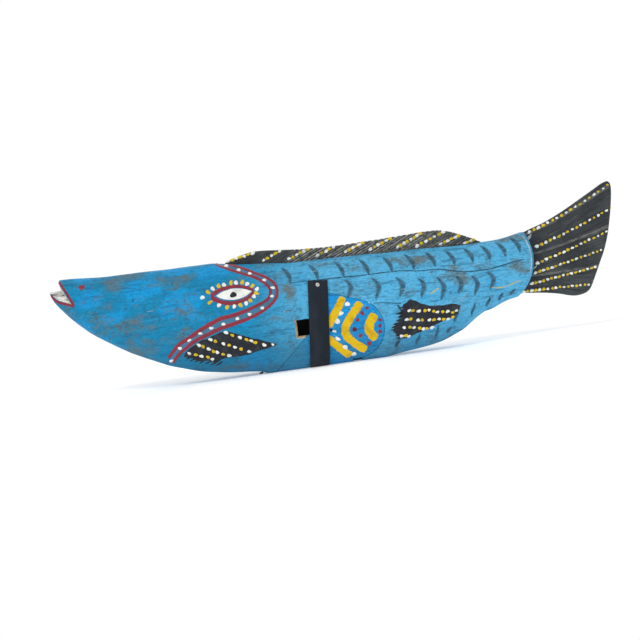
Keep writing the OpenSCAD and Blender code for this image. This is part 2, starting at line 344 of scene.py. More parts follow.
def make_skin(name):
    """The whole carved log before anything is cut out of it."""
    rings = skin_points()
    rows, cols, _ = rings.shape
    across = np.roll(rings, -1, axis=1) - np.roll(rings, 1, axis=1)
    along = np.gradient(rings, axis=0)
    normal = np.cross(across, along)
    normal /= np.linalg.norm(normal, axis=2, keepdims=True) + 1e-9
    flat = rings.reshape(-1, 3)
    normal = normal.reshape(-1, 3)
    sample = slice(cols * 60, cols * 61)  # one ring of the head tells which way is out
    if (normal[sample] * (flat[sample] - flat[sample].mean(axis=0))).sum() < 0:
        normal = -normal
    ease = np.clip((flat[:, 0] - NOSE_X) / 25, 0.1, 1)
    ease *= np.arange(len(flat)) < (rows - RIM_ROWS - 1) * cols
    push = adze(flat) * ease - GOUGE_DEPTH * gouged(flat)
    flat = flat + normal * push[:, None]
    flat[:, 2] = np.maximum(flat[:, 2], 0.02)
    verts = np.vstack([flat, rings[0].mean(axis=0)])
    faces = grid_faces(rows, cols, closed=True)
    faces += [(len(flat), (k + 1) % cols, k) for k in range(cols)]
    obj = add_mesh(name, verts, faces)
    turn_outward(obj)
    return obj


def flap_outline(hub_gap, seam_gap):
    """Side view of the flap, grown outward."""
    heel_angle = -90 - math.degrees(math.asin((PIVOT[0] - HEEL_X) / HUB_R))
    toe_x, seam_x, front_x = SEAM_LOW[0] - seam_gap, SEAM_HIGH[0] - seam_gap, FRONT_X - seam_gap
    return [(toe_x, SEAM_LOW[1] - 4), (toe_x, SEAM_LOW[1]), (seam_x, SEAM_HIGH[1]), (front_x, SEAM_HIGH[1]),
            (front_x, FRONT_Z + seam_gap), *arc(PIVOT, HUB_R + hub_gap, 70, heel_angle, 70), (HEEL_X, -5)]


whole_skin = make_skin("whole_skin")
SKIN_TREE = search_tree(whole_skin)
bpy.data.objects.remove(whole_skin)


# ---------------------------------------------------------------- materials
def rgb(red, green, blue):
    """A colour as it looks on a screen, 0 to 255, made linear."""
    parts = [c / 255 for c in (red, green, blue)]
    return tuple(c / 12.92 if c <= 0.04045 else ((c + 0.055) / 1.055) ** 2.4 for c in parts) + (1.0,)


class Shade:
    """A node material, put together one step at a time. Places are in metres on the fish."""

    def __init__(self, name, rough=0.6, metal=0.0, gloss=0.5):
        self.mat = bpy.data.materials.new(name)
        self.mat.use_nodes = True
        self.nodes, self.links = self.mat.node_tree.nodes, self.mat.node_tree.links
        self.shader = self.nodes["Principled BSDF"]
        self.preset({"Roughness": rough, "Metallic": metal, "Specular IOR Level": gloss})
        self.place = self.node("TexCoord", "Object", {})

    def preset(self, values):
        """Sets constants on the shader's sockets."""
        for socket, value in values.items():
            self.shader.inputs[socket].default_value = value

    def node(self, kind, out, inputs, **settings):
        """Adds a node with the given inputs, which are numbers or links, and gives one of its outputs."""
        node = self.nodes.new("ShaderNode" + kind)
        for name, value in settings.items():
            setattr(node, name, value)
        for name, value in inputs.items():
            if isinstance(value, bpy.types.NodeSocket):
                self.links.new(value, node.inputs[name])
            else:
                node.inputs[name].default_value = value
        return node.outputs[out]

    def stretched(self, scale, place=None):
        return self.node("Mapping", "Vector", {"Scale": scale, "Vector": place or self.place})

    def noise(self, scale, detail=3.0, place=None, rough=0.55):
        return self.node("TexNoise", "Fac", {"Scale": scale, "Detail": detail, "Roughness": rough,
                                             "Vector": place or self.place})

    def attribute(self, name, out="Fac"):
        return self.node("Attribute", out, {}, attribute_name=name)

    def axis(self, letter):
        return self.node("SeparateXYZ", letter, {0: self.place})

    def fade(self, value, low, high, top=1.0, bottom=0.0):
        """bottom up to low, top from high on, and a smooth step between."""
        ends = {"From Min": low, "From Max": high, "To Min": bottom, "To Max": top, "Value": value}
        return self.node("MapRange", "Result", ends, interpolation_type="SMOOTHSTEP")

    def math(self, how, a, b):
        return self.node("Math", 0, {0: a, 1: b}, operation=how)

    def plus(self, a, b, share):
        """a with a share of b added."""
        return self.math("ADD", a, self.math("MULTIPLY", b, share))

    def mix(self, share, a, b):
        return self.node("Mix", 2, {0: share, 6: a, 7: b}, data_type="RGBA")

    def finish(self, colour, relief, depth=0.0004, rough=None):
        """Wires colour and relief, a height with its depth in metres, to the shader."""
        dents = self.node("Bump", "Normal", {"Strength": 0.9, "Distance": depth, "Height": relief})
        for socket, value in (("Base Color", colour), ("Normal", dents), ("Roughness", rough)):
            if value is not None:
                self.links.new(value, self.shader.inputs[socket])
        return self.mat


def blue_paint(name, flank, head, bright, worn_share, turn_x):
    """Brushed matt blue over wood: brighter patches, grey-brown wear, dirt, streaks, a belly darker from
    grime and painted shade, and gouges darker from painted shade and thin paint.
    """
    s = Shade(name, gloss=0.14)
    streak = s.noise(1.0, 6, s.stretched((30, 110, 300)), 0.66)
    fine = s.noise(1.0, 6, s.stretched((240, 420, 620)), 0.75)
    speck = s.noise(230, 5, None, 0.8)
    dirt = s.noise(52, 6, None, 0.8)
    wear = s.noise(1.0, 7, s.stretched((26, 30, 42)), 0.78)
    wear = s.plus(wear, s.attribute("worn"), 0.13)
    wear = s.plus(wear, s.math("SUBTRACT", fine, 0.5), 0.26)
    # painted shade and grime: the paint grows darker and greyer towards the belly
    low = s.plus(s.axis("Z"), s.noise(11, 3), 0.05)
    behind = s.fade(s.axis("X"), *turn_x)
    fresh = s.plus(s.noise(19, 5, None, 0.62), s.attribute("fresh"), 0.20)
    share = s.math("MULTIPLY", s.fade(fresh, 0.53, 0.66, 0.95), s.fade(s.axis("X"), -0.12, -0.06, 0.3, 1.0))
    colour = s.mix(share, s.mix(behind, head, flank), bright)
    for layer, start, full, most, over in (
            (streak, 0.50, 0.66, 0.55, rgb(28, 92, 130)),
            (streak, 0.44, 0.32, 0.34, s.mix(behind, rgb(66, 158, 200), rgb(112, 186, 222))),
            (wear, 0.50, 0.70, worn_share, rgb(94, 114, 118)),
            (wear, 0.62, 0.78, worn_share * 0.6, rgb(122, 116, 98)),
            (dirt, 0.54, 0.68, 0.60, rgb(58, 84, 98)),
            (fine, 0.51, 0.64, 0.50, rgb(40, 78, 100)),
            (fine, 0.46, 0.34, 0.26, s.mix(behind, rgb(92, 168, 204), rgb(146, 198, 224))),
            (speck, 0.58, 0.68, 0.5, rgb(54, 72, 82)),
            # painted shade and grime towards the belly
            (low, 0.085, 0.030, 0.50, rgb(40, 90, 116))):
        colour = s.mix(s.fade(layer, start, full, most), colour, over)
    # painted shade and thin paint: the gouges in the blue are coloured a darker grey-blue
    gouge_shade_and_thin_paint = s.mix(s.fade(streak, 0.35, 0.65), rgb(48, 74, 88), rgb(76, 116, 136))
    colour = s.mix(s.math("MULTIPLY", s.attribute("cut"), 0.90), colour, gouge_shade_and_thin_paint)
    relief = s.plus(s.plus(streak, fine, 0.6), dirt, 0.3)
    return s.finish(colour, relief, 0.0007, s.fade(wear, 0.4, 0.7, 0.80, 0.55))


def black_paint():
    """Matt charcoal paint, with pale scratches that run with the carving."""
    s = Shade("black_paint", 0.66, gloss=0.35)
    run = s.attribute("run", "Vector")
    streak = s.noise(1.0, 6, s.stretched((7, 60, 1), run), 0.7)
    scratch = s.fade(s.noise(1.0, 6, s.stretched((26, 50, 1), run), 0.75), 0.43, 0.52)
    colour = s.mix(s.fade(s.noise(24, 4), 0.35, 0.65), rgb(40, 45, 50), rgb(62, 68, 70))
    colour = s.mix(s.fade(streak, 0.50, 0.62, 0.75), colour, rgb(22, 25, 32))
    colour = s.mix(s.fade(streak, 0.43, 0.30, 0.60), colour, rgb(116, 118, 114))
    # painted shade: the fin's slanted cuts and the troughs between the tail's ribs are coloured near black
    colour = s.mix(s.math("MULTIPLY", s.attribute("cut"), 0.95), colour, rgb(12, 14, 18))
    colour = s.mix(s.math("MULTIPLY", s.attribute("scratch"), scratch), colour, rgb(176, 176, 168))
    return s.finish(colour, streak, 0.0005)


def bare_wood(name, light, dark):
    s = Shade(name, 0.75)
    grain = s.noise(1.0, 6, s.stretched((30, 260, 260)), 0.6)
    return s.finish(s.mix(s.fade(grain, 0.38, 0.62), light, dark), grain)


def thick_paint(name, colour, shade, rough):
    """Thick brushed dabs: a little darker in places and along the brush."""
    s = Shade(name, rough, gloss=0.25)
    brush = s.noise(1.0, 4, s.stretched((160, 90, 520)), 0.6)
    tint = s.mix(s.fade(s.noise(95, 3), 0.45, 0.72, 0.75), colour, shade)
    return s.finish(s.mix(s.fade(brush, 0.5, 0.7, 0.35), tint, shade), brush)


def strap_rubber():
    s = Shade("strap_rubber", 0.68, gloss=0.22)
    dust = s.noise(70, 4, s.stretched((1, 1, 0.35)))
    colour = s.mix(s.fade(dust, 0.42, 0.68, 0.75), rgb(20, 29, 39), rgb(36, 43, 53))
    return s.finish(colour, s.noise(900, 2), 0.00015)


def nail_metal(name, clean, rust, share):
    s = Shade(name, 0.35, 0.85)
    spots = s.noise(700, 4)
    colour = s.mix(s.fade(spots, 0.45, 0.62, share), clean, rust)
    return s.finish(colour, spots, 0.0001)


BLUE = blue_paint("blue_paint", rgb(86, 179, 224), rgb(8, 134, 180), rgb(0, 152, 216), 0.85, (-0.12, -0.02))
FLAP_BLUE = blue_paint("flap_blue", rgb(0, 150, 222), rgb(56, 150, 196), rgb(0, 150, 222), 0.25,
                       (-0.050, -0.038))
BLACK = black_paint()
RAW = bare_wood("raw_wood", rgb(222, 200, 164), rgb(180, 146, 104))
# painted shade: the inside of the log, the window and the web are coloured near black
INSIDE_SHADE = bare_wood("painted_inside_shade", rgb(24, 22, 22), rgb(10, 10, 12))
MOUTH = bare_wood("mouth_white", rgb(255, 253, 247), rgb(228, 224, 216))
SCRIBBLE = bare_wood("mouth_scribble", rgb(244, 244, 238), rgb(36, 38, 42))
COATS = {colour: thick_paint(name, rgb(*main), rgb(*shade), rough) for colour, name, main, shade, rough in (
    ("white", "white_dabs", (240, 240, 232), (196, 204, 204), 0.42),
    ("yellow", "yellow_dabs", (220, 188, 26), (168, 146, 36), 0.42),
    ("chevron", "chevron_yellow", (226, 186, 0), (190, 148, 0), 0.42),
    ("red", "red_lines", (142, 46, 62), (104, 44, 58), 0.42),
    ("pin", "pin_red", (112, 20, 30), (70, 14, 22), 0.42),
    ("black", "black_patch", (28, 32, 40), (54, 60, 66), 0.55),
    # painted shade: the dark strokes that stand for incised lines
    ("line", "groove_shade_line", (46, 92, 118), (32, 66, 90), 0.7),
    ("chalk", "chalk", (176, 190, 196), (128, 148, 160), 0.8),
    ("wash", "gill_wash", (62, 122, 156), (72, 98, 122), 0.7))}
STEEL = nail_metal("nail_steel", rgb(206, 202, 196), rgb(110, 92, 80), 0.6)
RUST = nail_metal("hook_rust", rgb(72, 66, 62), rgb(58, 40, 30), 0.9)


# ---------------------------------------------------------------- the log, the web and the flap
def line_inside(obj, paint):
    """Painted outside, painted near black inside as shade, whitened in the mouth and bare just behind the
    window.
    """
    mesh = obj.data
    coats = (paint, RAW, INSIDE_SHADE, MOUTH, SCRIBBLE)
    mesh.materials.clear()
    for material in coats:
        mesh.materials.append(material)
    for face in mesh.polygons:
        centre = face.center / MM
        if SKIN_TREE.find_nearest(centre)[3] < 0.35:
            continue
        by_window = (WINDOW_X - 4 < centre.x < SEAM_HIGH[0] + 4
                     and SEAM_HIGH[1] - 4 < centre.z < WINDOW_TOP + 1)
        if centre.x < MOUTH_END_X:
            material = SCRIBBLE if abs(centre.y) < CHEEK_Y + 0.4 else MOUTH
        elif by_window and abs(centre.y) > FLANK_Y - 1.5:
            material = RAW
        else:
            material = INSIDE_SHADE if centre.z > 9 else paint
        face.material_index = coats.index(material)
    at = places(obj)
    # the cut attribute darkens the gouges: painted shade and thin paint
    set_attribute(obj, "cut", np.clip(2.4 * gouged(at), 0, 1))
    set_attribute(obj, "worn", spots(at, WORN))
    set_attribute(obj, "fresh", spots(at, FRESH))
    sharpen(obj, 38)


# Middle, half length and half height of soft-edged areas of the paint
WORN = [(-232, 128, 22, 6), (-218, 72, 28, 12), (-185, 118, 26, 8), (-258, 100, 14, 8), (-150, 42, 24, 9),
        (-192, 55, 16, 12), (-262, 70, 20, 12), (-228, 50, 26, 11), (-56, 85, 7, 12), (-62, 108, 18, 6),
        (136, 73, 8, 11), (203, 78, 13, 12), (95, 103, 26, 6), (196, 112, 16, 5), (60, 108, 20, 5),
        (-118, 12, 30, 6), (20, 104, 16, 5)]
FRESH = [(-276, 108, 14, 10), (-212, 112, 22, 11), (-176, 92, 24, 16), (-138, 120, 20, 9), (-84, 20, 30, 14),
         (-196, 84, 14, 12), (120, 66, 16, 9), (170, 70, 16, 14), (30, 78, 20, 6), (-255, 86, 16, 8)]


def spots(at, areas):
    """How far inside the given areas each point lies, 0 to 1, alike on both flanks."""
    inside = np.zeros(len(at))
    for x, z, long, high in areas:
        inside = np.maximum(inside, bump(np.hypot((at[:, 0] - x) / long, (at[:, 2] - z) / high) / 1.5))
    return inside


def window_flare(side):
    """The sloping bare edge that the knife left on the front and the bottom of the window."""
    back_x = SEAM_HIGH[0] + 2
    window = [(WINDOW_X, SEAM_HIGH[1]), (back_x, SEAM_HIGH[1]), (back_x, WINDOW_TOP), (WINDOW_X, WINDOW_TOP)]
    flared = [(WINDOW_X - 4.4, SEAM_HIGH[1] - 4.6), (back_x, SEAM_HIGH[1] - 3.6), (back_x, WINDOW_TOP + 0.4),
              (WINDOW_X - 3.4, WINDOW_TOP + 0.2)]
    return layered("flare", [(side * FLANK_Y, window), (side * (HALF_W + 2), flared)])


MOUTH_INSIDE = [(AHEAD_X, 124.5), (-318.5, 119.5), (-311.5, 115.8), (-305, 112.8), (-300.6, 111), (-303, 116),
                (-305.5, 120), (-309, 124), (-314, 130), (AHEAD_X, 130)]
MOUTH_RIM = [(AHEAD_X, 124), (-319.5, 118.5), (-311, 112.6), (-303, 109.2), (-297, 106.3), (-301, 114.5),
             (-305, 123), (-309.8, 133), (-312, 140), (AHEAD_X, 140)]


def make_log():
    log = make_skin("log_skin")
    swing_room = [(SWING_X, SEAM_HIGH[1] - 3), (FRONT_X + 1, SEAM_HIGH[1] - 3), (FRONT_X + 1, FRONT_Z - 2),
                  (SWING_X, FRONT_Z + 4)]
    window = box(WINDOW_X, SEAM_HIGH[1], SWING_X + 1, WINDOW_TOP)
    lips = [(AHEAD_X, 123), (-319, 122), (-307, 122.3), (-308.6, 140), (AHEAD_X, 140)]
    cutters = [through_cut(flap_outline(HUB_GAP, SEAM_GAP)), through_cut(swing_room),
               through_cut(box(HEEL_X - 1, -6, LIP_X - 1, 8))]
    for side in (NEAR, FAR):
        cutters.append(layered("window", [(side * y, window) for y in (WALL_T / 2, FLANK_Y, FAR_OUT)]))
        cutters.append(window_flare(side))
        cutters.append(layered("cheek", [(side * CHEEK_Y, MOUTH_INSIDE), (side * 17, MOUTH_RIM),
                                         (side * 60, MOUTH_RIM)]))
    for cutter in (*cutters, through_cut(lips)):
        combine(log, cutter, "DIFFERENCE")
    line_inside(log, BLUE)
    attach(log, FISH)
    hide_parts("body_log")


def make_flap():
    flap = make_skin("flap_skin")
    combine(flap, through_cut(flap_outline(0, 0)), "INTERSECT")
    slot = WEB_T / 2 + SLOT_PLAY
    hub_slot = [*arc(PIVOT, WEB_R + 1, 90, 270, 40), (PIVOT[0], BELOW_Z), (90, BELOW_Z), (90, 120),
                (PIVOT[0], 120)]
    heel_room = box(HEEL_ROOM_X, BELOW_Z, PIVOT[0] + 0.5, 6)
    groove = [(STRAP_X - 11.4, BELOW_Z), (STRAP_X + 11.4, BELOW_Z), (STRAP_X + 11.6, STRAP_BOTTOM),
              (STRAP_X - 11.2, STRAP_BOTTOM)]
    for cutter in (*(layered("slot", [(-slot, cut), (slot, cut)]) for cut in (hub_slot, heel_room)),
                   through_cut(groove), through_cut(box(-95, BELOW_Z, 40, FLAP_LIFT))):
        combine(flap, cutter, "DIFFERENCE")
    line_inside(flap, FLAP_BLUE)
    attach(flap, FLAP)
    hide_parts("belly_flap")


def make_web():
    """The round-ended web of the log that carries the pin, and the tongue of the log under the hub."""
    right_x = PIVOT[0] + 44
    side_view = [*arc(PIVOT, WEB_R, 90, 270, 48), (right_x, PIVOT[1] - WEB_R), (right_x, PIVOT[1] + WEB_R)]
    half, ease = WEB_T / 2, 0.9
    smaller = [(PIVOT[0] + (x - PIVOT[0]) * 0.95, PIVOT[1] + (z - PIVOT[1]) * 0.95) for x, z in side_view]
    web = layered("log_web", [(-half, smaller), (-half + ease, side_view), (half - ease, side_view),
                              (half, smaller)])
    tongue = box(HEEL_X + 0.6, 0.5, LIP_X + 2, TONGUE_TOP)
    combine(web, layered("tongue", [(-half, tongue), (half, tongue)]), "UNION")
    web.data.materials.clear()
    # painted shade, near black, on the web inside the slot; blue paint on the tongue under the hub
    for material in (INSIDE_SHADE, BLUE):
        web.data.materials.append(material)
    for face in web.data.polygons:
        face.material_index = 1 if face.center.z < (TONGUE_TOP + 1) * MM else 0
    sharpen(web, 30)
    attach(web, FISH)


# ---------------------------------------------------------------- dorsal fin and tail
FIN_TOP = through([(FIN_FRONT, 126.5), (-118, 130), (-108, 133), (-92, 136.3), (-78, 136.2), (-60, 134.4),
                   (-35, 132.2), (0, 130.6), (40, 131), (75, 131.8), (105, 132.8), (120, 132), (132, 129),
                   (144, 124), (156, 118.2), (FIN_BACK, 112.6)])
CUT_SLANT = math.radians(24)
CUT_PITCH = 2.5
CUT_STRENGTH = rng.uniform(0.35, 1.0, 400)


def slanted_cuts(x, z):
    """Depth of the fin's slanted cuts, 0 to 1: none near its front, uneven from one cut to the next."""
    phase = (z * math.cos(CUT_SLANT) - x * math.sin(CUT_SLANT)) / CUT_PITCH + 100
    which = np.floor(phase).astype(int) % len(CUT_STRENGTH)
    started = np.clip((x - 0.9 * (z - 120) + 62) / 14, 0, 1)
    return bump((phase % 1 - 0.5) / 0.40) * CUT_STRENGTH[which] * started


def make_fin():
    """The board on the back: rounded along its top and cut with slanted grooves on both faces."""
    rise = np.concatenate([np.linspace(0, 0.86, 24), [0.91, 0.95, 0.98, 1.0]])
    girth = np.concatenate([1 - 0.16 * np.linspace(0, 1, 24) ** 2, [0.76, 0.62, 0.40, 0.0]])
    rise = np.concatenate([rise, rise[-2::-1]])
    girth = np.concatenate([girth, -girth[-2::-1]])
    xs = np.arange(FIN_FRONT, FIN_BACK + 0.1, 0.7)
    rings, cuts = [], []
    for x in xs:
        high = np.interp(x, FIN_TOP[:, 0], FIN_TOP[:, 1])
        high -= 0.7 * float(slanted_cuts(np.array([x]), np.array([high]))[0])
        low = min(float(crest(x)) - 5, high - 2)
        z = low + rise * (high - low)
        depth = slanted_cuts(np.full(len(z), x), z)
        ends = min(1.0, 0.35 + (x - FIN_FRONT) / 14, 0.35 + (FIN_BACK - x) / 14)
        y = girth * FIN_T / 2 * ends - np.sign(girth) * 0.8 * depth * np.minimum(1, np.abs(girth) * 1.6)
        rings.append(np.stack([np.full(len(z), x), y, z], axis=1))
        cuts.append(depth)
    fin = tube("fin_board", rings, BLACK, FISH)
    turn_outward(fin, weld=False)
    # painted shade: the black paint colours the cuts near black
    set_attribute(fin, "cut", np.array(cuts).ravel())
    at = places(fin)
    along = at[:, 0] * math.cos(CUT_SLANT) + at[:, 2] * math.sin(CUT_SLANT)
    across = at[:, 2] * math.cos(CUT_SLANT) - at[:, 0] * math.sin(CUT_SLANT)
    set_run(fin, along / 160, across / 100)
    ridge = slanted_cuts(at[:, 0], at[:, 2] + CUT_PITCH * 0.55)
    set_attribute(fin, "scratch", ridge * (at[:, 0] > -58) * np.clip((170 - at[:, 0]) / 60, 0.3, 1))
    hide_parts("dorsal_fin")
    return fin


TAIL_UNDER = through([(196, 47.4), (206, 48.6), (215, 47.6), (230, 45.6), (245, 42.6), (257, 39), (265, 37.6),
                      (272, 38.2)])
TAIL_OVER = through([(196, 112.4), (212, 115.9), (222, 119), (240, 124.7), (260, 133.3), (280, 143.5),
                     (300, 154), (309, 158.8), (316, 160.9)])
TAIL_BACK = through([(272, 38.2), (278, 40.2), (283, 45), (289, 56), (296, 70), (303, 84), (309, 100),
                     (313, 115), (317, 133), (319.6, 150), (319.2, 158), (316, 160.9)])
TAIL_RIBS = 6


def make_tail():
    """The blade: a patch between its four edges, thinner towards the back, with faint fanned ribs."""
    rows, half_cols = 110, 90
    u = np.linspace(0, 1, rows)[:, None, None]
    v = (0.5 - 0.5 * np.cos(np.linspace(0, math.pi, half_cols)))[None, :, None] * 0.5
    v = v + np.linspace(0, 1, half_cols)[None, :, None] * 0.5
    under, over = spaced(TAIL_UNDER, rows)[:, None], spaced(TAIL_OVER, rows)[:, None]
    back = np.stack([np.interp(v[0, :, 0], np.linspace(0, 1, 200), spaced(TAIL_BACK, 200)[:, k])
                     for k in (0, 1)], axis=1)[None]
    front = TAIL_UNDER[0] * (1 - v) + TAIL_OVER[0] * v
    corners = ((1 - u) * (1 - v) * TAIL_UNDER[0] + (1 - u) * v * TAIL_OVER[0]
               + u * (1 - v) * TAIL_UNDER[-1] + u * v * TAIL_OVER[-1])
    sheet = (1 - v) * under + v * over + (1 - u) * front + u * back - corners
    u, v = u[..., 0] + 0 * v[..., 0], v[..., 0] + 0 * u[..., 0]
    half = (6.5 - 3.6 * u) * (1 - np.abs(2 * v - 1) ** 14) ** 0.5 * (1 - u ** 26) ** 0.5
    rib = np.cos(2 * math.pi * TAIL_RIBS * v) * 0.35 * np.clip(half / 2, 0, 1) * np.clip(1.3 - u, 0, 1)
    wave = [noise.noise(Vector((x / 18, 0, z / 7))) for x, z in sheet.reshape(-1, 2)]
    half = np.maximum(half + (rib + 0.3 * np.array(wave).reshape(u.shape)) * (half > 1), 0)
    near = np.stack([sheet[..., 0], -half, sheet[..., 1]], axis=2)
    far = near * [1, -1, 1]
    rings = np.concatenate([near, far[:, -2:0:-1]], axis=1)
    along = np.concatenate([u, u[:, -2:0:-1]], axis=1).ravel()
    fan = np.concatenate([v, v[:, -2:0:-1]], axis=1).ravel()
    tail = tube("tail_blade", rings, BLACK, FISH, caps=1)
    set_run(tail, along * 0.6, fan * 0.9)
    # painted shade: the troughs between the ribs are coloured near black
    set_attribute(tail, "cut", np.clip(-np.cos(2 * math.pi * TAIL_RIBS * fan) - 0.75, 0, 1))
    set_attribute(tail, "scratch", np.clip(np.cos(2 * math.pi * 3 * fan + 1) - 0.93, 0, 1) * 4)
    turn_outward(tail)
    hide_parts("tail_fin")
    return tail


make_log()
make_flap()
make_web()

# ---------------------------------------------------------------- paint, laid on in thick domed strokes
ON_LOG = (SKIN_TREE, FISH, "blue_paint")
ON_FLAP = (SKIN_TREE, FLAP, "flap_paint")
ON_FIN = (search_tree(make_fin()), FISH, "black_paint")
ON_TAIL = (search_tree(make_tail()), FISH, "black_paint")
SUNK = -0.15  # the rim of a dab, a stroke or a patch lies this far under the surface
laid = {}


def lay(colour, where, grid, lift, closed=False):
    """Drops a grid of side-view points onto both faces of a surface, lifted off it by the given heights."""
    tree, body, slot = where
    rows, cols, _ = grid.shape
    for side in (NEAR, FAR):
        verts, faces = laid.setdefault((colour, body, slot), ([], []))
        new = grid_faces(rows, cols, closed, len(verts))
        faces += new if side == NEAR else [f[::-1] for f in new]
        edge_y = 40.0
        for (x, z), up in zip(grid.reshape(-1, 2), lift.ravel()):
            hit, normal, _, _ = tree.ray_cast(Vector((x, side * 90, z)), Vector((0, -side, 0)))
            if hit is None:
                hit, normal, _, _ = tree.find_nearest(Vector((x, side * edge_y, z)))
            if normal.y * side < 0.2:
                normal = Vector((normal.x, side * 0.5, normal.z)).normalized()
            edge_y = abs(hit.y)
            verts.append(tuple(hit + normal * float(up)))


def dab(colour, where, x, z, width=4.0, height=3.0, turn=0.0, thick=0.55):
    """One blob of paint, never quite round."""
    angles = np.linspace(0, 2 * math.pi, 19)[:-1]
    wobble = 1 + 0.10 * np.sin(2 * angles + rng.uniform(0, 6)) + 0.09 * np.sin(3 * angles + rng.uniform(0, 6))
    shares = np.array([1.0, 0.86, 0.62, 0.3, 0.02])
    lift = np.array([SUNK, 0.55 * thick, 0.88 * thick, thick, thick])
    c, s = math.cos(turn), math.sin(turn)
    px, pz = np.cos(angles) * width / 2 * wobble, np.sin(angles) * height / 2 * wobble
    rim = np.stack([x + px * c - pz * s, z + px * s + pz * c], axis=1)
    centre = np.array([x, z])
    grid = centre + (rim[None] - centre) * shares[:, None, None]
    lay(colour, where, grid, np.repeat(lift[:, None], len(angles), axis=1), closed=True)


def sink_rim(lift):
    """The same heights, with the outermost points under the surface."""
    lift[:, [0, -1]] = SUNK
    lift[[0, -1]] = SUNK
    return lift


def stroke(colour, where, points, width, thick=0.4, ends=0.7, ragged=0.10):
    """A brushed line through the points. Its width may change along it."""
    path = through(points)
    length = np.linalg.norm(np.diff(path, axis=0), axis=1).sum()
    path = spaced(path, max(6, int(length / 1.1)))
    along = np.linspace(0, 1, len(path))
    widths = np.atleast_1d(width)
    wide = np.interp(along, np.linspace(0, 1, len(widths)), widths)
    taper = np.clip(np.minimum(along, 1 - along) * length / (wide.mean() * ends) + 0.02, 0, 1) ** 0.5
    roll = rng.uniform(0, 9)

    def half_width(edge):
        rough = np.array([noise.noise(Vector((k * 0.45, roll, edge))) for k in range(len(path))])
        return (wide / 2 * taper * (1 + 2.2 * ragged * rough))[:, None]

    tangent = np.gradient(path, axis=0)
    tangent /= np.linalg.norm(tangent, axis=1, keepdims=True)
    side = np.stack([-tangent[:, 1], tangent[:, 0]], axis=1)
    shares = np.array([-1, -0.88, -0.6, -0.2, 0.2, 0.6, 0.88, 1])
    offset = np.where(shares < 0, half_width(5), half_width(0)) * shares
    height = np.where(taper > 0.4, thick, thick * 0.6)
    lift = sink_rim(height[:, None] * [1, 0.5, 0.85, 1, 1, 0.85, 0.5, 1])
    lay(colour, where, path[:, None] + side[:, None] * offset[..., None], lift)


def patch(colour, where, top, low, thick, wobble, across=16):
    """A painted area between two lines that run the same way."""
    count = 70
    top, low = spaced(through(top), count), spaced(through(low), count)
    start_x = float(top[0, 0])
    over, under = (np.array([noise.noise(Vector((k * 0.22, edge, start_x))) for k in range(count)])[:, None]
                   for edge in (0, 3))
    share = np.linspace(0, 1, across)
    grid = top[:, None] * (1 - share[None, :, None]) + low[:, None] * share[None, :, None]
    grid[..., 1] += wobble * (over * (1 - share) + under * share)
    lay(colour, where, grid, sink_rim(np.full(grid.shape[:2], thick)))


def row(where, start, end, count, width, height, thick, sag=0.0, shrink=0.0):
    """Dabs of white and yellow in turn along a line."""
    lean = math.atan2(end[1] - start[1], end[0] - start[0])
    for k in range(count):
        t = k / (count - 1)
        x = start[0] + (end[0] - start[0]) * t + rng.uniform(-0.5, 0.5)
        z = start[1] + (end[1] - start[1]) * t - sag * 4 * t * (1 - t) + rng.uniform(-0.4, 0.4)
        grow = rng.uniform(0.85, 1.15) * (1 - shrink * t)
        dab("yellow" if k % 2 else "white", where, x, z, width * grow, height * grow, lean, thick)


def dots(points, width, height, turn):
    """Dabs of white and yellow in turn at given places on the log."""
    for k, (x, z) in enumerate(points):
        grow = rng.uniform(0.9, 1.12)
        dab("yellow" if k % 2 else "white", ON_LOG, x, z, width * grow, height * grow, turn, 0.8)


def paint_eye():
    stroke("red", ON_LOG, [(-142.5, 95.3), (-137, 98.5), (-129, 101.2), (-118, 102.3), (-107, 100.8),
                           (-99, 97.6), (-94.5, 94.6)], [4.8, 3.6, 3.2], 0.5)
    stroke("red", ON_LOG, [(-142.5, 95.3), (-138, 90.5), (-129, 86), (-118, 84.2), (-107, 85.8), (-99, 90),
                           (-94.5, 94.6)], [4.8, 4.8, 4.0, 3.4], 0.5)
    patch("white", ON_LOG, [(-136.5, 95), (-129, 98.5), (-118, 100.4), (-107, 98.8), (-97.4, 94.8)],
          [(-136.5, 94), (-129, 89.6), (-118, 87.3), (-107, 88.8), (-97.4, 93.8)], 0.34, 0.2, 10)
    dab("black", ON_LOG, -117.8, 93.2, 7.8, 7.2, 0, 0.95)
    ring = [(-152, 95), (-145, 100), (-139.5, 103), (-132.5, 105), (-126.5, 105.5), (-118.5, 106.5),
            (-113, 106), (-106, 105.5), (-101, 103), (-95.5, 100), (-91, 96), (-92.5, 91.5), (-95.5, 88.5),
            (-100, 84.5), (-105, 82), (-111.5, 81), (-118.5, 80.5), (-126.5, 80.5), (-135, 84),
            (-144.5, 88.5)]
    for k, (x, z) in enumerate(ring):
        turn = math.atan2(z - 93.5, (x + 119.5) * 0.45)
        colour, width, height = ("yellow", 6.0, 4.2) if k % 2 else ("white", 5.2, 4.5)
        dab(colour, ON_LOG, x, z, width, height, turn)


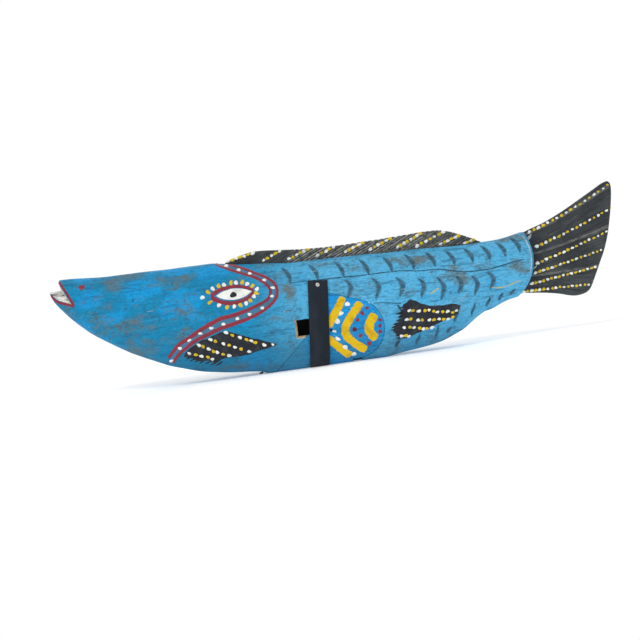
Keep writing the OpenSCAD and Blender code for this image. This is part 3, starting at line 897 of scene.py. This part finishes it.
def paint_gills():
    inner = [(-133, 129), (-125, 124.5), (-115, 119.5), (-105, 115), (-93, 109.5), (-85, 104), (-79, 98),
             (-76.5, 92), (-79, 85), (-85, 81), (-95, 77.5), (-108, 73.5), (-122, 70.5), (-135, 69),
             (-148, 64.4), (-160, 59), (-172, 52.6), (-185, 46.4), (-195, 37), (-199, 32.5)]
    outer = [(-120, 127.5), (-113, 124.5), (-104, 120.5), (-92, 114), (-80, 107.5), (-72, 100.5), (-69, 93),
             (-71, 84), (-78, 77), (-88, 71), (-100, 66.5), (-113, 63), (-127, 60.4), (-140, 57.4),
             (-152, 53.4), (-165, 49), (-175, 43.4), (-186, 36.2), (-193, 29), (-197, 26.4)]
    stroke("wash", ON_LOG, [((a[0] + b[0]) / 2, (a[1] + b[1]) / 2) for a, b in zip(inner, outer)],
           [6, 5, 6, 8, 7], 0.16)
    stroke("red", ON_LOG, inner, [2.6, 3.2, 3.4, 4.8, 5.0, 3.6], 0.5)
    stroke("red", ON_LOG, outer, [2.8, 3.2, 3.4, 4.6, 4.6, 3.2], 0.5)
    between = [(-121, 125.5), (-108, 119), (-96.5, 113.5), (-81.5, 104.5), (-73.5, 95), (-76, 86),
               (-88, 74.5), (-103, 69.5), (-117, 66.5), (-133, 62.5), (-147, 60), (-160, 56), (-173, 50),
               (-184.5, 42.5), (-196, 29.5)]
    for x, z in between:
        dab("white", ON_LOG, x, z, 5.2, 3.5, rng.uniform(-0.5, 0.5), 0.6)


def paint_mouth():
    stroke("red", ON_LOG, [(-308.5, 133.3), (-306, 129.6), (-302, 121.8), (-298, 113), (-294, 104.5)], 2.9)
    stroke("red", ON_LOG, [(-294, 104), (-303, 107.5), (-311, 110.5), (-316, 114.2), (-319, 119.5)], 3.0)
    dab("red", ON_LOG, -283, 123.8, 8, 5.4, 0.25, 0.5)


def paint_fins():
    patch("black", ON_LOG, [(-181, 33), (-179, 37), (-165, 46), (-150, 51), (-138, 54.5), (-131, 54.8),
                            (-125, 52.5), (-112, 46.8), (-98, 41), (-88, 36.8), (-77, 32.5)],
          [(-180, 32), (-174, 29.5), (-165, 25), (-152, 22.8), (-146, 20.5), (-138, 23.6), (-125, 23.8),
           (-110, 25), (-95, 28), (-85, 30), (-77, 32)], 0.3, 1.1)
    for points in (
            [(-131.5, 53), (-125, 49), (-117, 45.5), (-110, 42), (-105, 40), (-101, 37.5), (-91.5, 33.5)],
            [(-149.5, 47.5), (-144.5, 45), (-136, 41), (-130, 38.5), (-124, 35.5), (-117.5, 32.5),
             (-109, 28.5)],
            [(-163, 43), (-159, 41), (-153, 37.5), (-148, 34), (-144, 32.5), (-138, 29.5), (-131.5, 27)],
            [(-175, 35.5), (-168, 33), (-162, 30.5), (-155, 28.5), (-150.5, 25.5)]):
        dots(points, 5.0, 3.8, -0.45)
    dab("white", ON_LOG, -82, 32.6, 4, 2.8, -0.3, 0.7)
    for x, z in ((-179, 33.5), (-177, 30.5), (-173, 28), (-168, 26), (-163, 24), (-157, 22.5), (-151, 20.5),
                 (-146, 19)):
        length = rng.uniform(4, 8)
        stroke("black", ON_LOG, [(x - 3, z - 1.5), (x + length / 2, z + 0.6), (x + length, z + 3)],
               [0.7, 2.0, 1.6], 0.24)
    patch("black", ON_LOG, [(55, 25), (53, 31), (56, 36), (62, 41), (64, 48), (66, 56), (70, 58.5),
                            (76, 61.5), (88, 55.5), (95, 52), (110, 50), (122, 50), (131, 46.5)],
          [(55.5, 24), (58, 21.5), (62, 18.5), (70, 19.5), (80, 22), (90, 25), (100, 28), (110, 31.5),
           (120, 34), (127, 38.5), (131, 46)], 0.3, 1.0)
    for x, z in ((50.5, 33), (51.5, 27.5), (58.5, 43.5), (50, 30), (52.5, 36), (53, 23), (57, 47), (61, 53),
                 (54.5, 20), (56, 39.5)):
        stroke("black", ON_LOG, [(x, z), (x + 4, z + 0.4), (x + 8, z + 1)], [0.8, 2.6, 3.6], 0.26)
    for points in (
            [(73, 49), (77, 48.5), (83.5, 47), (90.5, 46.5), (95, 46.5), (100, 44.5), (104, 43), (110, 42.5),
             (115.5, 42), (121, 40), (125.5, 41.5)],
            [(69, 39.5), (73.5, 39.5), (81.5, 37), (86, 36.5), (94, 35.5), (99, 35), (105, 35), (110, 34),
             (115, 33.5), (120.5, 35)],
            [(65, 31), (71.5, 30.5), (76, 29.5), (82, 28), (86, 26.5), (90, 26.5), (96, 26.5)],
            [(61, 22), (65.5, 22), (69, 20.5)]):
        dots(points, 4.8, 3.6, 0.15)


def paint_flap():
    for points, width in (
            ([(2.4, 74.5), (-1.2, 69), (-4.6, 63.5), (-8.3, 58.2), (-12.3, 53), (-16, 48), (-19, 43)],
             [8.4, 9.4, 9.6]),
            ([(-21, 33), (-17.5, 27.5), (-12.6, 22.2), (-7.4, 17), (-2, 11.8), (3, 7.4)], 8.8),
            ([(20.6, 66.2), (16.3, 60.8), (11.7, 55.6), (7, 50.2), (2.9, 45), (0.2, 40), (-0.6, 35),
              (0.6, 30.5), (4.4, 25.2), (9.4, 20.4), (15, 15.6), (20.5, 11.4)], 9.4),
            ([(34.6, 51.4), (31.6, 47), (28.4, 42), (26.4, 37), (26.6, 32), (29.4, 27), (33.4, 22.4)],
             [10.5, 10.5, 11, 10.5, 9.6])):
        stroke("chevron", ON_FLAP, points, width, 0.45, 0.2, 0.13)
    for x, z, width, height, turn in (
            (5.9, 65.8, 5.6, 5.6, 0), (-2.5, 56.4, 6.6, 4, 0.5), (-7.6, 48.2, 6.4, 5.6, 0),
            (-12.6, 37.8, 5, 3.2, -0.4), (-9.8, 28.8, 6.4, 4, -0.5), (-3, 18.2, 7, 5, -0.3),
            (5.9, 9.2, 5.6, 4.6, 0)):
        dab("white", ON_FLAP, x, z, width, height, turn)
    for x, z, width, height in (
            (27, 58.4, 4, 3.8), (21, 53.4, 4.8, 5.2), (14.8, 46.6, 4.8, 4.2), (15.7, 28.9, 5, 4.2),
            (24.4, 18.8, 5.4, 4.8), (39.6, 43.2, 4.4, 4.2), (38.6, 36.8, 4.6, 4.4), (37.9, 30.4, 4.6, 4.6)):
        dab("red", ON_FLAP, x, z, width, height, rng.uniform(-0.3, 0.3))
    # painted shade: a black dab stands for the shade in a small notch beside the strap
    dab("black", ON_FLAP, -15.4, 39.4, 4.6, 3.6, -0.4, 0.3)


def paint_lines():
    # painted shade: thin dark strokes stand for the shade inside incised lines on the flank
    stroke("line", ON_LOG, [(-57, 98.4), (-46, 97.4), (0, 96), (20, 95), (60, 94.5), (75, 93.5), (90, 91),
                            (110, 90), (125, 86.5), (140, 83), (155, 82), (170, 82), (180, 83.5), (200, 86.5),
                            (210, 87.3)], [0.7, 1.5, 1.2, 1.5, 1.2], 0.08, 1.0, 0.3)
    stroke("line", ON_LOG, [(34, 62.8), (46, 61.6), (55, 60.2), (66, 58)], 1.1, 0.08)
    stroke("line", ON_LOG, [(-240.5, 109.5), (-238, 108.4), (-236.6, 105.4)], 0.8, 0.08)
    dab("line", ON_LOG, -228.5, 101.6, 1.9, 3.1, 0.2, 0.1)
    for x, z, length, lean in ((-216, 87, 9, 0.1), (-66, 66, 6, 0.6), (66, 73, 8, 0.05), (150, 88, 10, 0.2),
                               (186, 97, 7, -0.1), (-30, 106, 9, 0.05)):
        stroke("chalk", ON_LOG, [(x, z), (x + length / 2, z + length * lean / 2 + 0.3),
                                 (x + length, z + length * lean)], [0.2, 0.6, 0.25], 0.08, 1.0, 0.4)
    stroke("chalk", ON_LOG, [(129, 50), (134, 54), (140, 58.5)], [0.4, 0.9, 0.4], 0.12)
    rim = arc((RIM_X, RIM_Z), RIM_R - 4.5, 27, -22, 12)
    stroke("chalk", ON_LOG, rim, [0.5, 1.7, 0.7, 1.5, 0.4], 0.14, 1.0, 0.5)
    stroke("yellow", ON_LOG, [(167, 61.5), (176, 59.8), (186, 60.2), (196, 63.4), (203, 64)],
           [0.5, 1.2, 0.6, 1.3, 0.4], 0.12, 1, 0.5)
    stroke("yellow", ON_LOG, [(98, 64), (103, 66), (110, 69.5)], [0.5, 1.6, 0.7], 0.14, 1, 0.5)


def paint_fin_rows():
    for start, end, count in (
            ((-118, 129.5), (-90, 135), 7), ((-78.5, 125), (-60, 132.8), 5), ((-50, 123), (-28, 131), 6),
            ((-18, 122.5), (1, 129.4), 5), ((14, 122.5), (34, 129.6), 6), ((42, 121.5), (65, 130.2), 6),
            ((72, 119.6), (100, 131), 8), ((94, 118), (125.5, 129), 7), ((121, 116.3), (142, 123), 6),
            ((148, 113.3), (158, 116.2), 4)):
        row(ON_FIN, start, end, count, 4.8, 3.4, 0.8)


def paint_tail_rows():
    for start, end, count, sag in (
            ((221, 116), (316, 156.5), 18, 3.2), ((228, 99), (316.4, 130), 18, 1.4),
            ((226, 80.5), (308, 104.5), 17, 0.8), ((222, 69.5), (299.5, 84.8), 17, 0.4),
            ((216, 58), (290.5, 67), 17, 0.2), ((206, 50.4), (280.5, 48), 17, -0.6)):
        row(ON_TAIL, start, end, count, 4.7, 3.5, 0.65, sag, 0.28)
    for x, z, length in ((214, 105, 9), (217, 109, 7), (219.5, 74, 6)):
        stroke("chalk", ON_TAIL, [(x, z), (x + length / 2, z + length * 0.3), (x + length, z + length * 0.7)],
               [0.5, 1.6, 0.6], 0.2, 1.0, 0.3)


for paint in (paint_eye, paint_gills, paint_mouth, paint_fins, paint_flap, paint_lines, paint_fin_rows,
              paint_tail_rows):
    paint()
for (colour, body, slot), (verts, faces) in laid.items():
    area = {"blue_paint": "log", "flap_paint": "flap", "black_paint": "fins"}[slot]
    add_mesh(f"{colour}_on_{area}", verts, faces, COATS[colour], body)


# ---------------------------------------------------------------- strap, nails, pin and hook
def strap_outline(gap):
    """Half of the strap's inner or outer side, from the middle of the belly up the near flank."""
    count = 720
    shape = section_shape(count)
    half = shape[shape[:, 0] >= -1e-9][:count // 2 + 1]
    half = half[np.argsort(half[:, 1], kind="stable")]
    low = -gap - 0.8
    z = low + half[:, 1] * (STRAP_CREST - low)
    lift = FLAP_LIFT + STRAP_T if gap < STRAP_T else FLAP_LIFT
    y = half[:, 0] * (HALF_W + gap)
    keep = z > lift
    floor_y = float(np.interp(lift, z, y))
    return np.vstack([[(0, lift)], [(floor_y * 0.93, lift)], np.stack([y[keep], z[keep]], axis=1)])


def strap_side(gap, across, count):
    """The same side as a grid: along the U and across the width of the strap, leaning."""
    lean = math.radians(STRAP_LEAN)
    outline = strap_outline(gap)
    columns = []
    for a in across:
        top = STRAP_TOP * math.cos(lean) - a * math.sin(lean) + 0.5 * noise.noise(Vector((a / 3, 0, 2)))
        half = spaced(np.vstack([outline[outline[:, 1] < top],
                                 [(np.interp(top, outline[:, 1], outline[:, 0]), top)]]), count)
        around = np.vstack([half[::-1] * [-1, 1], half[1:]])
        x = STRAP_X + around[:, 1] * math.tan(lean) + a / math.cos(lean)
        columns.append(np.stack([x, around[:, 0], around[:, 1]], axis=1))
    return np.array(columns).transpose(1, 0, 2)


def make_strap():
    """A strip of inner tube round the flap, nailed to the log at both ends."""
    half = STRAP_W / 2
    edge = np.array([1, 0.985, 0.93])
    across = np.concatenate([-half * edge, np.linspace(-0.8, 0.8, 9) * half, half * edge[::-1]])
    outer, inner = strap_side(STRAP_GAP + STRAP_T, across, 90), strap_side(STRAP_GAP, across, 90)
    ease = np.ones(len(across))
    ease[[0, -1]], ease[[1, -2]] = 0.55, 0.85
    outer = inner + (outer - inner) * ease[None, :, None]
    bend = np.array([[noise.noise(Vector((x / 26, y / 40, z / 16))) for x, y, z in line] for line in outer])
    outer += (outer - inner) * 0.10 * bend[..., None]
    strap = tube("strap_band", np.concatenate([outer, inner[:, ::-1]], axis=1), strap_rubber())
    turn_outward(strap)
    sharpen(strap, 45)
    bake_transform(strap)
    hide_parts("rubber_strap")


def circle(centre, axis, radius, sides, along=0.0):
    """A ring of points round an axis, some way along it."""
    turn = Vector(axis).to_track_quat("Z", "Y").to_matrix()
    angles = [2 * math.pi * k / sides for k in range(sides)]
    return [tuple(Vector(centre) + turn @ Vector((radius * math.cos(a), radius * math.sin(a), along)))
            for a in angles]


def lathe(name, parts, material, body, sides=40):
    """Round pieces: each part has a middle, an axis and a profile of radius and distance along it."""
    verts, faces = [], []
    for centre, axis, profile in parts:
        faces += grid_faces(len(profile), sides, closed=True, start=len(verts))
        for radius, along in profile:
            verts += circle(centre, axis, radius, sides, along)
    obj = add_mesh(name, verts, faces, material, body)
    turn_outward(obj)
    sharpen(obj, 50)
    return obj


def make_nails():
    profile = [(0.01, 1.15), (0.9, 1.1), (1.6, 0.9), (2.15, 0.5), (2.4, 0.1), (2.3, -0.15), (1.15, -0.3),
               (1.15, -16), (0.01, -17.5)]
    across, up = zip(*FACETS)
    out = (HALF_W + STRAP_GAP + STRAP_T) * float(np.interp(NAIL_Z / float(crest(NAIL_X)), up, across))
    parts = [((NAIL_X, side * (out + 0.5), NAIL_Z), (0, side, 0), profile) for side in (NEAR, FAR)]
    nails = lathe("nail_heads", parts, STEEL, FISH)
    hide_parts("strap_nails")


def make_pin():
    """The pin, with blunt painted ends that stand just proud of the flap."""
    reach = HALF_W + 0.3
    end = [(0.01, reach), (1.4, reach - 0.15), (2.3, reach - 0.6), (2.85, reach - 1.4), (2.9, reach - 3)]
    profile = end + [(radius, -along) for radius, along in end[::-1]]
    part = ((PIVOT[0], 0, PIVOT[1]), (0, 1, 0), profile)
    pin = lathe("painted_pin", [part], COATS["pin"], FLAP)
    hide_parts("pivot_pin")


def make_hook():
    """A bent nail under the belly."""
    bend = [(0, 0, 17), (0, 0, 6), (0, 0, 3), (-0.5, -0.6, 1.6), (-1.8, -2.1, 1.25), (-3.2, -3.8, 1.3)]
    path = through(np.array(bend) + (HOOK_X, HOOK_Y, 0), 6)
    last = len(path) - 1
    rings = []
    for k, point in enumerate(path):
        ahead = path[min(k + 1, last)] - path[max(k - 1, 0)]
        rings.append(circle(point, ahead, HOOK_R * (0.3 if k in (0, last) else 0.97), 20))
    hook = tube("bent_hook", rings, RUST, FISH)
    turn_outward(hook)
    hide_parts("belly_hook")


make_strap()
make_nails()
make_pin()
make_hook()
for name in ("fin_dowels", "tail_pegs"):
    node = bpy.data.objects[name]
    for slot in node.material_slots:
        slot.material = RAW


# ---------------------------------------------------------------- floor, light and camera
WHITE = (1, 1, 1, 1)


def make_floor():
    """A pale floor that fades into a pale dome, so that no edge of it shows."""
    size = 4000
    verts = [(x, y, -0.05) for y in (-size, size) for x in (-size, size)]
    s = Shade("floor_pale", 0.9)
    s.preset({"Base Color": rgb(248, 248, 248), "Emission Color": WHITE, "Emission Strength": 0.3})
    reach = s.node("VectorMath", "Value", {0: s.place}, operation="LENGTH")
    s.links.new(s.fade(reach, 0.33, 0.9, 0.0, 1.0), s.shader.inputs["Alpha"])
    add_mesh("floor", verts, [(0, 1, 3, 2)], s.mat)


def make_dome():
    """White surroundings for the eye alone: they give the fish no light."""
    radius = 9000
    angles, rises = np.radians(np.linspace(0, 360, 49)[:-1]), np.radians(np.linspace(-88, 88, 23))
    rings = [[(radius * math.cos(r) * math.cos(a), radius * math.cos(r) * math.sin(a), radius * math.sin(r))
              for a in angles] for r in rises]
    s = Shade("dome_white", 1.0)
    s.preset({"Base Color": (0, 0, 0, 1), "Emission Color": WHITE, "Emission Strength": 1.0})
    dome = tube("dome", rings, s.mat)
    dome.visible_diffuse = dome.visible_glossy = dome.visible_shadow = dome.visible_transmission = False


def add_light(name, place, size, power):
    """A round soft light aimed at the middle of the fish."""
    light = bpy.data.lights.new(name, "AREA")
    light.shape, light.size, light.energy = "DISK", size, power
    obj = bpy.data.objects.new(name, light)
    obj.location = place
    obj.rotation_euler = (Vector((0, 0, 0.06)) - Vector(place)).to_track_quat("-Z", "Y").to_euler()
    bpy.context.scene.collection.objects.link(obj)


def add_camera():
    """Almost square on to the flank from far off, rolled so that the fish rises to the right."""
    turn, up, roll = (math.radians(a) for a in (-2, 3, 7.83))
    back = Vector((math.sin(turn) * math.cos(up), -math.cos(turn) * math.cos(up), math.sin(up)))
    right = Vector((math.cos(turn), math.sin(turn), 0))
    above = back.cross(right)
    across = right * math.cos(roll) - above * math.sin(roll)
    raised = right * math.sin(roll) + above * math.cos(roll)
    camera = bpy.data.cameras.new("camera")
    camera.lens, camera.sensor_width = 146.6, 36
    obj = bpy.data.objects.new("camera", camera)
    obj.matrix_world = Matrix((across, raised, back)).transposed().to_4x4()
    obj.location = Vector((-0.0266, -0.042, 0.0524)) + back * 2.8856
    bpy.context.scene.collection.objects.link(obj)
    bpy.context.scene.camera = obj


make_floor()
make_dome()
add_light("key", (-0.9, -1.6, 1.9), 1.2, 26)
add_light("fill", (1.6, -1.6, 0.7), 1.6, 5)
add_light("back", (0.4, 1.9, 1.5), 1.6, 14)
world = bpy.data.worlds.new("pale")
world.use_nodes = True
sky = world.node_tree.nodes["Background"].inputs
sky["Color"].default_value = WHITE
sky["Strength"].default_value = 0.55
bpy.context.scene.world = world
bpy.context.scene.view_settings.view_transform = "Standard"
add_camera()
